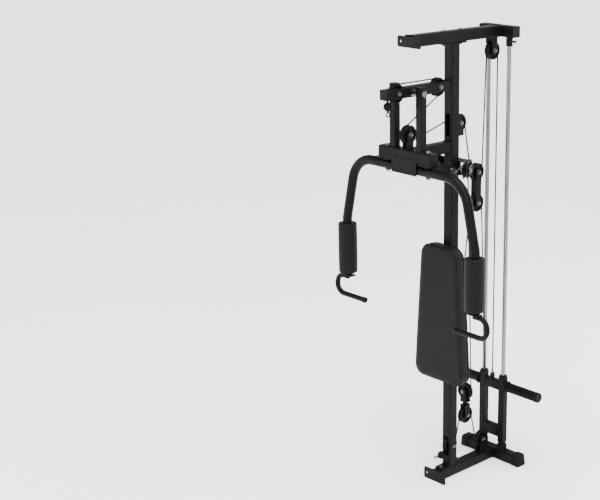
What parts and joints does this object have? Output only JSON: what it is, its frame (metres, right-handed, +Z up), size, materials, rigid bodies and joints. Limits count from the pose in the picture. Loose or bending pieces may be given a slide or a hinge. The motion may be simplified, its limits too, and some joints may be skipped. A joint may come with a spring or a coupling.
{
  "type": "multi station home gym",
  "caption": "Wall-mounted multi station home gym with a plate-loaded carriage, lat and low pulleys, a swinging press frame, fly arms and a back pad.",
  "frame": {"origin": "centre of the footprint, on the floor", "axes": "+X is the front, towards the user; +Y is the user's left; +Z is up"},
  "size_m": [0.75, 0.9654, 2.1],
  "materials": {
    "black_paint": "satin powder coat",
    "steel": "drawn and polished",
    "zinc": "zinc plated",
    "pulley_plastic": "moulded",
    "rubber": "matte",
    "foam": "closed-cell foam",
    "vinyl": "grained vinyl",
    "cable_cover": "smooth sheath"
  },
  "bodies": {
    "frame": {"base_beam": "black_paint", "base_mount_plate": "black_paint", "base_pulley_bracket": "black_paint", "foot_tube": "black_paint", "foot_cap_left": "rubber", "foot_cap_right": "rubber", "rod_seat_left": "rubber", "rod_seat_right": "rubber", "guide_rod_left": "steel", "guide_rod_right": "steel", "rod_collar_left": "black_paint", "rod_collar_right": "black_paint", "upright": "black_paint", "top_beam": "black_paint", "top_cross_tube": "black_paint", "top_mount_plate": "black_paint", "top_pulley_bracket": "black_paint", "rear_pulley_bracket": "black_paint", "boom": "black_paint", "press_pivot_bolt": "zinc", "stop_beam": "black_paint", "stop_bumper": "rubber", "swivel_mount": "black_paint", "cable_anchor": "zinc", "back_pad": "vinyl", "press_cable": "cable_cover", "fly_cable": "cable_cover", "low_cable": "cable_cover"},
    "carriage": {"carriage_frame": "black_paint"},
    "lat_hook_body": {"lat_hook": "rubber"},
    "low_hook_body": {"low_hook": "rubber"},
    "upper_block_body": {"upper_block": "black_paint"},
    "lower_block_body": {"lower_block": "black_paint"},
    "press_frame": {"press_cross_tube": "black_paint", "press_post_left": "black_paint", "press_post_right": "black_paint", "press_pulley_bracket": "black_paint", "fly_pin_left": "zinc", "fly_pin_right": "zinc"},
    "fly_left": {"fly_arm_left": "black_paint", "foam_grip_left": "foam", "press_handle_left": "black_paint"},
    "swivel_left": {"swivel_bracket_left": "black_paint"},
    "fly_right": {"fly_arm_right": "black_paint", "foam_grip_right": "foam", "press_handle_right": "black_paint"},
    "swivel_right": {"swivel_bracket_right": "black_paint"},
    "pulley_top_body": {"pulley_top": "pulley_plastic"},
    "pulley_base_body": {"pulley_base": "pulley_plastic"},
    "pulley_rear_body": {"pulley_rear": "pulley_plastic"},
    "pulley_low_body": {"pulley_low": "pulley_plastic"},
    "pulley_boom_rear_body": {"pulley_boom_rear": "pulley_plastic"},
    "pulley_boom_front_body": {"pulley_boom_front": "pulley_plastic"},
    "pulley_press_body": {"pulley_press": "pulley_plastic"},
    "pulley_upper_block_top_body": {"pulley_upper_block_top": "pulley_plastic"},
    "pulley_upper_block_low_body": {"pulley_upper_block_low": "pulley_plastic"},
    "pulley_lower_block_top_body": {"pulley_lower_block_top": "pulley_plastic"},
    "pulley_lower_block_low_body": {"pulley_lower_block_low": "pulley_plastic"},
    "pulley_swivel_left_body": {"pulley_swivel_left": "pulley_plastic"},
    "pulley_swivel_right_body": {"pulley_swivel_right": "pulley_plastic"}
  },
  "joints": [
    {"name": "carriage_slide", "type": "slide", "parent": "frame", "child": "carriage", "axis": [0, 0, 1], "range_m": [0, 1.1], "deforming": ["press_cable"]},
    {"name": "lat_pull", "type": "slide", "parent": "frame", "child": "lat_hook_body", "axis": [0, 0, -1], "range_m": [0, 1.1]},
    {"name": "upper_block_slide", "type": "slide", "parent": "frame", "child": "upper_block_body", "axis": [0, 0, -1], "range_m": [0, 0.5], "stiffness_N_per_m": 20, "springref_m": -1.5, "deforming": ["low_cable"]},
    {"name": "low_pull", "type": "slide", "parent": "frame", "child": "low_hook_body", "axis": [1, 0, 0], "range_m": [0, 1]},
    {"name": "press_swing", "type": "hinge", "parent": "frame", "child": "press_frame", "pos_m": [0.235, 0, 1.866], "axis": [0, -1, 0], "range_deg": [0, 35], "stiffness_Nm_per_rad": 10, "springref_deg": -28.65},
    {"name": "fly_swing_left", "type": "hinge", "parent": "press_frame", "child": "fly_left", "pos_m": [0.235, 0.1225, 1.536], "axis": [0, 0, -1], "range_deg": [0, 80], "stiffness_Nm_per_rad": 2, "springref_deg": -34.38, "deforming": ["fly_cable"]},
    {"name": "fly_swing_right", "type": "hinge", "parent": "press_frame", "child": "fly_right", "pos_m": [0.235, -0.1225, 1.536], "axis": [0, 0, 1], "range_deg": [0, 80], "stiffness_Nm_per_rad": 2, "springref_deg": -34.38},
    {"name": "lower_block_slide", "type": "slide", "parent": "frame", "child": "lower_block_body", "axis": [0, 0, 1], "range_m": [0, 0.1]},
    {"name": "swivel_turn_left", "type": "hinge", "parent": "frame", "child": "swivel_left", "pos_m": [-0.101, 0.047, 1.498], "axis": [0, 0, -1], "range_deg": [0, 12]},
    {"name": "swivel_turn_right", "type": "hinge", "parent": "frame", "child": "swivel_right", "pos_m": [-0.101, -0.047, 1.498], "axis": [0, 0, 1], "range_deg": [0, 12]},
    {"name": "pulley_top_spin", "type": "hinge", "parent": "frame", "child": "pulley_top_body", "pos_m": [-0.291, 0, 1.9895], "axis": [0, 1, 0], "continuous": true},
    {"name": "pulley_base_spin", "type": "hinge", "parent": "frame", "child": "pulley_base_body", "pos_m": [-0.25, 0, 0.119], "axis": [0, 1, 0], "continuous": true},
    {"name": "pulley_rear_spin", "type": "hinge", "parent": "frame", "child": "pulley_rear_body", "pos_m": [-0.076, 0, 1.692], "axis": [0, 1, 0], "continuous": true},
    {"name": "pulley_low_spin", "type": "hinge", "parent": "frame", "child": "pulley_low_body", "pos_m": [-0.033, 0, 0.156], "axis": [0, 1, 0], "continuous": true},
    {"name": "pulley_boom_rear_spin", "type": "hinge", "parent": "frame", "child": "pulley_boom_rear_body", "pos_m": [0.059, 0, 1.866], "axis": [0, 1, 0], "continuous": true},
    {"name": "pulley_boom_front_spin", "type": "hinge", "parent": "frame", "child": "pulley_boom_front_body", "pos_m": [0.305, 0, 1.866], "axis": [0, 1, 0], "continuous": true},
    {"name": "pulley_press_spin", "type": "hinge", "parent": "press_frame", "child": "pulley_press_body", "pos_m": [0.235, 0, 1.6824], "axis": [0, 1, 0], "continuous": true},
    {"name": "pulley_upper_block_top_spin", "type": "hinge", "parent": "upper_block_body", "child": "pulley_upper_block_top_body", "pos_m": [-0.1963, 0, 1.4505], "axis": [0, 1, 0], "continuous": true},
    {"name": "pulley_upper_block_low_spin", "type": "hinge", "parent": "upper_block_body", "child": "pulley_upper_block_low_body", "pos_m": [-0.1963, 0, 1.306], "axis": [0, 1, 0], "continuous": true},
    {"name": "pulley_lower_block_top_spin", "type": "hinge", "parent": "lower_block_body", "child": "pulley_lower_block_top_body", "pos_m": [-0.1375, 0, 0.3985], "axis": [1, 0, 0], "continuous": true},
    {"name": "pulley_lower_block_low_spin", "type": "hinge", "parent": "lower_block_body", "child": "pulley_lower_block_low_body", "pos_m": [-0.1375, 0, 0.2777], "axis": [0, 1, 0], "continuous": true},
    {"name": "pulley_swivel_left_spin", "type": "hinge", "parent": "swivel_left", "child": "pulley_swivel_left_body", "pos_m": [-0.03843, 0.0846, 1.498], "axis": [-0.515, 0.8572, 0], "continuous": true},
    {"name": "pulley_swivel_right_spin", "type": "hinge", "parent": "swivel_right", "child": "pulley_swivel_right_body", "pos_m": [-0.03843, -0.0846, 1.498], "axis": [0.515, 0.8572, 0], "continuous": true}
  ],
  "couplings": [
    {"joint": "lat_pull", "follows": "carriage_slide", "ratio": 1},
    {"joint": "pulley_top_spin", "follows": "carriage_slide", "rad_per_m": 27.027},
    {"joint": "pulley_upper_block_top_spin", "follows": "carriage_slide", "rad_per_m": -27.027},
    {"joint": "pulley_rear_spin", "follows": "carriage_slide", "rad_per_m": 27.027},
    {"joint": "pulley_press_spin", "follows": "carriage_slide", "rad_per_m": -27.027},
    {"joint": "pulley_boom_rear_spin", "follows": "carriage_slide", "rad_per_m": 27.027},
    {"joint": "pulley_boom_front_spin", "follows": "carriage_slide", "rad_per_m": 27.027},
    {"joint": "low_pull", "follows": "upper_block_slide", "ratio": 2},
    {"joint": "pulley_low_spin", "follows": "upper_block_slide", "rad_per_m": -54.054},
    {"joint": "pulley_lower_block_low_spin", "follows": "upper_block_slide", "rad_per_m": 54.054},
    {"joint": "pulley_base_spin", "follows": "upper_block_slide", "rad_per_m": -54.054},
    {"joint": "pulley_upper_block_low_spin", "follows": "upper_block_slide", "rad_per_m": -27.027},
    {"joint": "swivel_turn_left", "follows": "press_swing", "ratio": 0.33},
    {"joint": "swivel_turn_right", "follows": "press_swing", "ratio": 0.33},
    {"joint": "lower_block_slide", "follows": "fly_swing_left", "m_per_rad": 0.054},
    {"joint": "pulley_lower_block_top_spin", "follows": "fly_swing_left", "ratio": 1.4595},
    {"joint": "pulley_swivel_left_spin", "follows": "fly_swing_left", "ratio": 2.9189},
    {"joint": "pulley_swivel_right_spin", "follows": "fly_swing_right", "ratio": 2.9189}
  ]
}
